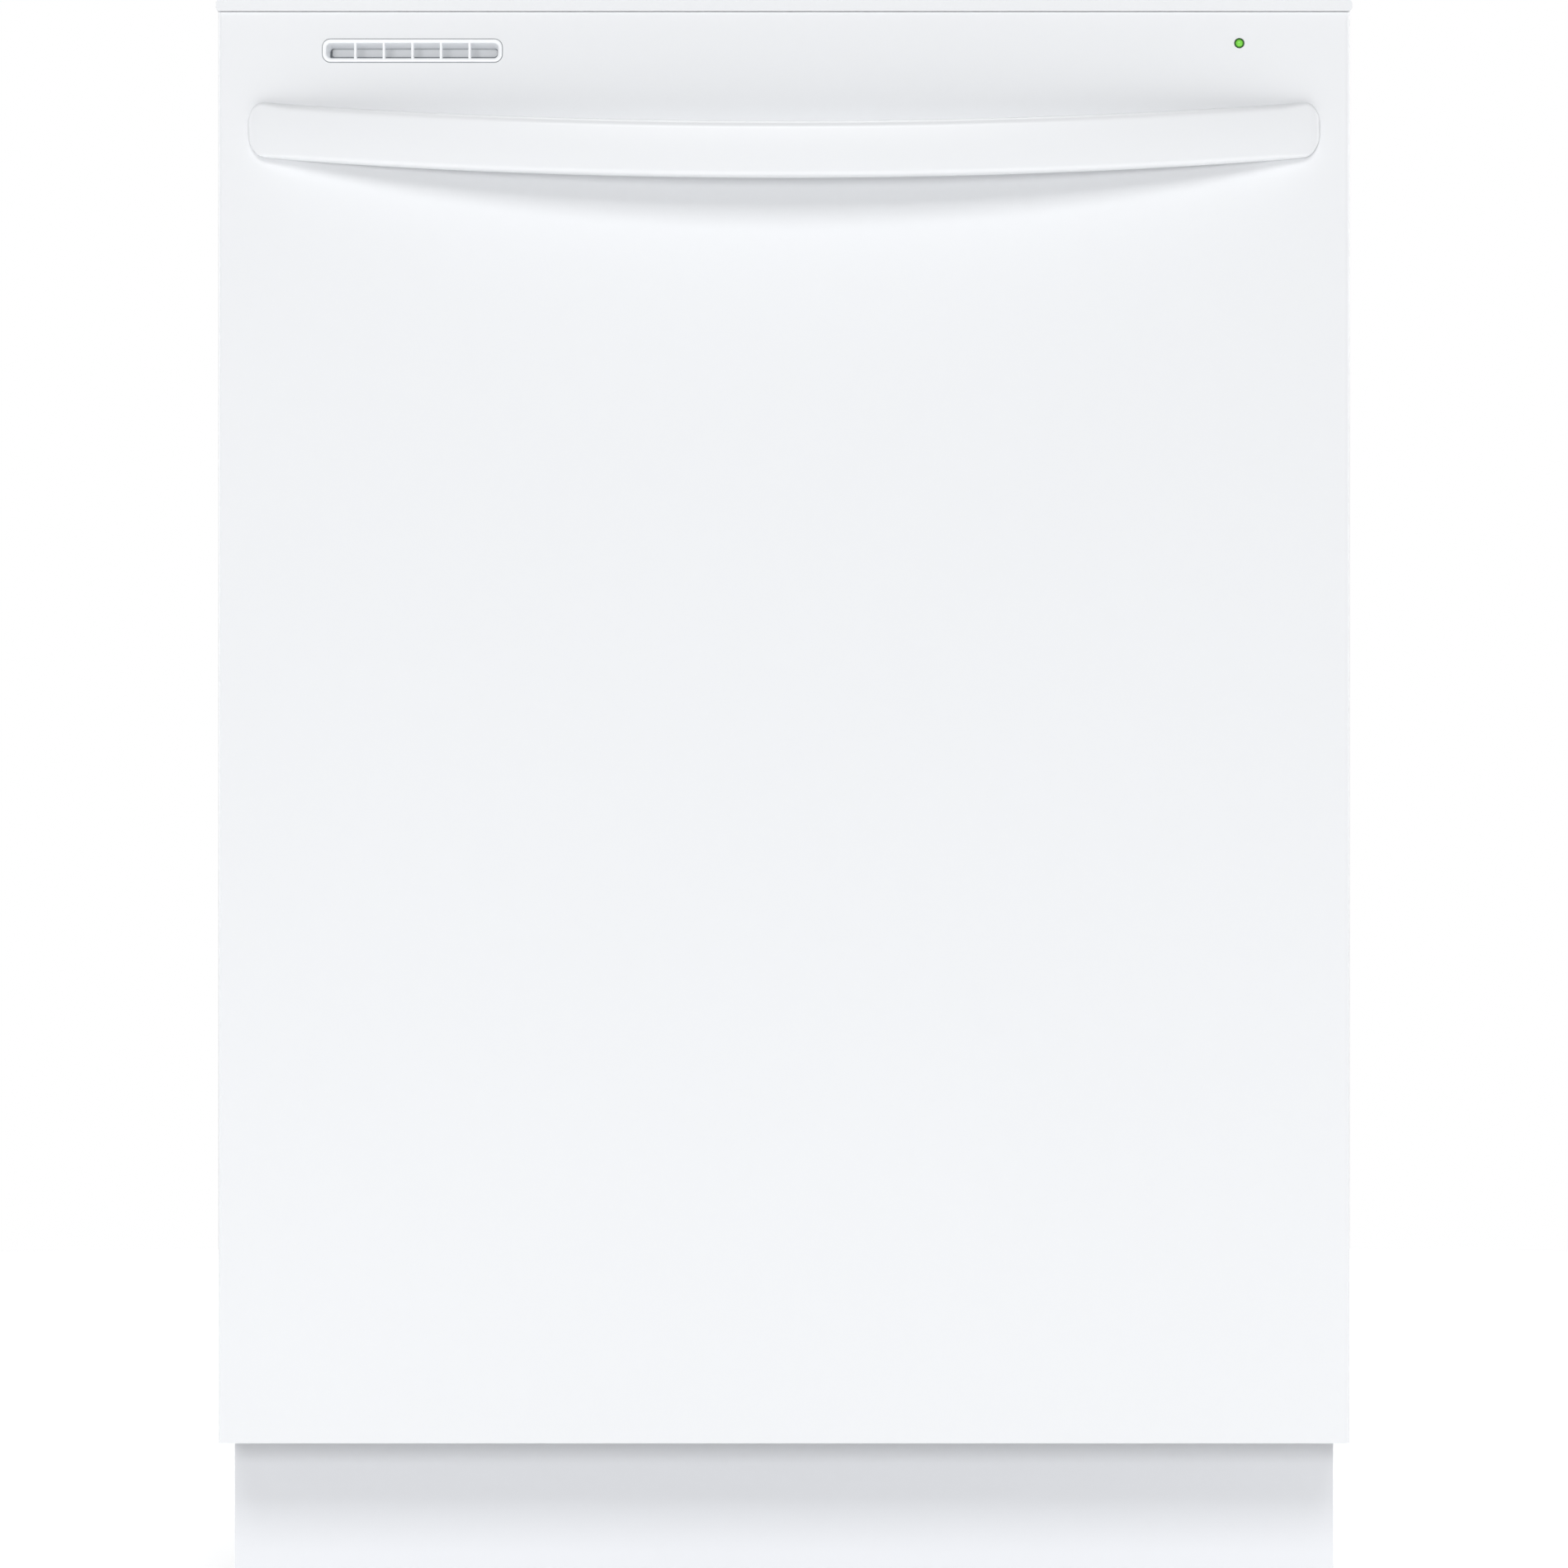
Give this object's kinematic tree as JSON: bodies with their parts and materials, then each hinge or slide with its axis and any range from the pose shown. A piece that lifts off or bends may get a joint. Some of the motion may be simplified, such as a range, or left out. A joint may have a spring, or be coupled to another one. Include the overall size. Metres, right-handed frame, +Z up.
{
  "type": "built-in dishwasher",
  "caption": "Built-in dishwasher with a white front, bowed bar handle, small vent grille and status light; drop-down door, sliding racks, spray arms and wash system.",
  "frame": {"origin": "on the floor under the middle of the bounding box", "axes": "+Z up; the door faces -Y; +X to the right seen from the front"},
  "size_m": [0.6054, 0.652, 0.86],
  "materials": {
    "white_paint": "smooth glossy enamel on steel",
    "white_plastic": "smooth semi-gloss moulding",
    "grey_tub": "satin moulded plastic",
    "grey_plastic": "satin moulded plastic",
    "dark_plastic": "satin black moulding",
    "rubber_seal": "matte extrusion",
    "vinyl_wire": "vinyl coat on steel wire",
    "stainless": "bright steel",
    "zinc_steel": "zinc plated steel",
    "blanket_felt": "matte felted mat",
    "green_lens": "lit lens",
    "clear_plastic": "smooth tinted cap"
  },
  "bodies": {
    "cabinet": {"tub": "grey_tub", "tub_gasket": "rubber_seal", "insulation_blanket": "blanket_felt", "base_frame": "zinc_steel", "toe_kick": "white_paint", "latch_strike": "stainless", "sump": "dark_plastic", "filter_plate": "grey_plastic", "heater_element": "stainless", "wash_motor": "zinc_steel", "drain_pump": "dark_plastic", "inlet_valve": "white_plastic", "fill_hose": "rubber_seal", "junction_box": "zinc_steel", "spray_conduit": "grey_plastic", "counter_bracket_left": "zinc_steel", "rail_channel_left": "stainless", "door_spring_left": "stainless", "counter_bracket_right": "zinc_steel", "rail_channel_right": "stainless", "door_spring_right": "stainless"},
    "door": {"door_panel": "white_paint", "door_liner": "grey_tub", "console": "white_plastic", "handle": "white_plastic", "vent_grille": "white_plastic", "status_lens": "green_lens", "dispenser_body": "grey_plastic", "hinge_arm_left": "zinc_steel", "hinge_arm_right": "zinc_steel"},
    "rack_rails": {"rack_rail_left": "stainless", "rack_rail_right": "stainless"},
    "upper_rack": {"upper_rack": "vinyl_wire", "mid_manifold": "grey_plastic"},
    "lower_rack": {"lower_rack": "vinyl_wire", "cutlery_basket": "grey_plastic"},
    "rack_wheel_front_left": {"rack_wheel_front_left": "grey_plastic"},
    "rack_wheel_rear_left": {"rack_wheel_rear_left": "grey_plastic"},
    "rack_wheel_front_right": {"rack_wheel_front_right": "grey_plastic"},
    "rack_wheel_rear_right": {"rack_wheel_rear_right": "grey_plastic"},
    "leveling_foot_front_left": {"leveling_foot_front_left": "zinc_steel"},
    "leveling_foot_rear_left": {"leveling_foot_rear_left": "zinc_steel"},
    "leveling_foot_front_right": {"leveling_foot_front_right": "zinc_steel"},
    "leveling_foot_rear_right": {"leveling_foot_rear_right": "zinc_steel"},
    "fine_filter": {"fine_filter": "grey_plastic"},
    "float": {"float": "white_plastic"},
    "lower_spray_arm": {"lower_spray_arm": "grey_plastic"},
    "wash_impeller": {"wash_impeller": "white_plastic"},
    "mid_spray_arm": {"mid_spray_arm": "grey_plastic"},
    "cup_shelf_left": {"cup_shelf_left": "vinyl_wire"},
    "cup_shelf_right": {"cup_shelf_right": "vinyl_wire"},
    "vent_flap": {"vent_flap": "white_plastic"},
    "dispenser_cover": {"dispenser_cover": "grey_plastic"},
    "rinse_aid_cap": {"rinse_aid_cap": "clear_plastic"},
    "latch_hook": {"latch_hook": "stainless"},
    "console_key_1": {"console_key_1": "grey_plastic"},
    "console_key_2": {"console_key_2": "grey_plastic"},
    "console_key_3": {"console_key_3": "grey_plastic"},
    "console_key_4": {"console_key_4": "grey_plastic"},
    "console_key_5": {"console_key_5": "grey_plastic"}
  },
  "joints": [
    {"name": "door_hinge", "type": "hinge", "parent": "cabinet", "child": "door", "pos_m": [0, -0.25, 0.118], "axis": [1, 0, 0], "range_deg": [0, 90], "stiffness_Nm_per_rad": 16, "deforming": ["door_spring_left", "door_spring_right"]},
    {"name": "rail_slide", "type": "slide", "parent": "cabinet", "child": "rack_rails", "axis": [0, -1, 0], "range_m": [0, 0.21]},
    {"name": "upper_rack_slide", "type": "slide", "parent": "rack_rails", "child": "upper_rack", "axis": [0, -1, 0], "range_m": [0, 0.21]},
    {"name": "lower_rack_slide", "type": "slide", "parent": "cabinet", "child": "lower_rack", "axis": [0, -1, 0], "range_m": [0, 0.14]},
    {"name": "rack_wheel_front_left_roll", "type": "hinge", "parent": "lower_rack", "child": "rack_wheel_front_left", "pos_m": [-0.243, -0.12, 0.17], "axis": [1, 0, 0], "continuous": true},
    {"name": "rack_wheel_rear_left_roll", "type": "hinge", "parent": "lower_rack", "child": "rack_wheel_rear_left", "pos_m": [-0.243, 0.19, 0.17], "axis": [1, 0, 0], "continuous": true},
    {"name": "rack_wheel_front_right_roll", "type": "hinge", "parent": "lower_rack", "child": "rack_wheel_front_right", "pos_m": [0.243, -0.12, 0.17], "axis": [1, 0, 0], "continuous": true},
    {"name": "rack_wheel_rear_right_roll", "type": "hinge", "parent": "lower_rack", "child": "rack_wheel_rear_right", "pos_m": [0.243, 0.19, 0.17], "axis": [1, 0, 0], "continuous": true},
    {"name": "leveling_foot_front_left_screw", "type": "slide", "parent": "cabinet", "child": "leveling_foot_front_left", "axis": [0, 0, -1], "range_m": [0, 0.028]},
    {"name": "leveling_foot_rear_left_screw", "type": "slide", "parent": "cabinet", "child": "leveling_foot_rear_left", "axis": [0, 0, -1], "range_m": [0, 0.028]},
    {"name": "leveling_foot_front_right_screw", "type": "slide", "parent": "cabinet", "child": "leveling_foot_front_right", "axis": [0, 0, -1], "range_m": [0, 0.028]},
    {"name": "leveling_foot_rear_right_screw", "type": "slide", "parent": "cabinet", "child": "leveling_foot_rear_right", "axis": [0, 0, -1], "range_m": [0, 0.028]},
    {"name": "fine_filter_turn", "type": "hinge", "parent": "cabinet", "child": "fine_filter", "pos_m": [0, -0.019, 0.14], "axis": [0, 0, 1], "range_deg": [0, 90]},
    {"name": "float_lift", "type": "slide", "parent": "cabinet", "child": "float", "axis": [0, 0, 1], "range_m": [0, 0.012]},
    {"name": "lower_spray_arm_spin", "type": "hinge", "parent": "cabinet", "child": "lower_spray_arm", "pos_m": [0, 0.04, 0.181], "axis": [0, 0, 1], "continuous": true},
    {"name": "wash_impeller_spin", "type": "hinge", "parent": "cabinet", "child": "wash_impeller", "pos_m": [0.11, 0.05, 0.09], "axis": [1, 0, 0], "continuous": true},
    {"name": "mid_spray_arm_spin", "type": "hinge", "parent": "upper_rack", "child": "mid_spray_arm", "pos_m": [0, 0.04, 0.488], "axis": [0, 0, 1], "continuous": true},
    {"name": "cup_shelf_left_fold", "type": "hinge", "parent": "upper_rack", "child": "cup_shelf_left", "pos_m": [-0.233, 0.03, 0.606], "axis": [0, -1, 0], "range_deg": [0, 80]},
    {"name": "cup_shelf_right_fold", "type": "hinge", "parent": "upper_rack", "child": "cup_shelf_right", "pos_m": [0.233, 0.03, 0.606], "axis": [0, 1, 0], "range_deg": [0, 80]},
    {"name": "vent_flap_swing", "type": "hinge", "parent": "door", "child": "vent_flap", "pos_m": [-0.198, -0.2554, 0.8324], "axis": [1, 0, 0], "range_deg": [0, 60]},
    {"name": "dispenser_cover_slide", "type": "slide", "parent": "door", "child": "dispenser_cover", "axis": [-1, 0, 0], "range_m": [0, 0.076]},
    {"name": "rinse_aid_cap_turn", "type": "hinge", "parent": "door", "child": "rinse_aid_cap", "pos_m": [0.048, -0.205, 0.521], "axis": [0, 1, 0], "range_deg": [0, 90]},
    {"name": "latch_hook_pivot", "type": "hinge", "parent": "door", "child": "latch_hook", "pos_m": [0, -0.25, 0.845], "axis": [-1, 0, 0], "range_deg": [0, 4.5], "stiffness_Nm_per_rad": 1.5, "springref_deg": -1.15},
    {"name": "console_key_1_press", "type": "slide", "parent": "door", "child": "console_key_1", "axis": [0, 0, -1], "range_m": [0, 0.0015], "stiffness_N_per_m": 400, "springref_m": -0.002},
    {"name": "console_key_2_press", "type": "slide", "parent": "door", "child": "console_key_2", "axis": [0, 0, -1], "range_m": [0, 0.0015], "stiffness_N_per_m": 400, "springref_m": -0.002},
    {"name": "console_key_3_press", "type": "slide", "parent": "door", "child": "console_key_3", "axis": [0, 0, -1], "range_m": [0, 0.0015], "stiffness_N_per_m": 400, "springref_m": -0.002},
    {"name": "console_key_4_press", "type": "slide", "parent": "door", "child": "console_key_4", "axis": [0, 0, -1], "range_m": [0, 0.0015], "stiffness_N_per_m": 400, "springref_m": -0.002},
    {"name": "console_key_5_press", "type": "slide", "parent": "door", "child": "console_key_5", "axis": [0, 0, -1], "range_m": [0, 0.0015], "stiffness_N_per_m": 400, "springref_m": -0.002}
  ],
  "couplings": [
    {"joint": "rail_slide", "follows": "door_hinge", "m_per_rad": 0.1336},
    {"joint": "upper_rack_slide", "follows": "door_hinge", "m_per_rad": 0.1336},
    {"joint": "lower_rack_slide", "follows": "door_hinge", "m_per_rad": 0.0891},
    {"joint": "rack_wheel_front_left_roll", "follows": "door_hinge", "ratio": 4.95},
    {"joint": "rack_wheel_rear_left_roll", "follows": "door_hinge", "ratio": 4.95},
    {"joint": "rack_wheel_front_right_roll", "follows": "door_hinge", "ratio": 4.95},
    {"joint": "rack_wheel_rear_right_roll", "follows": "door_hinge", "ratio": 4.95}
  ]
}
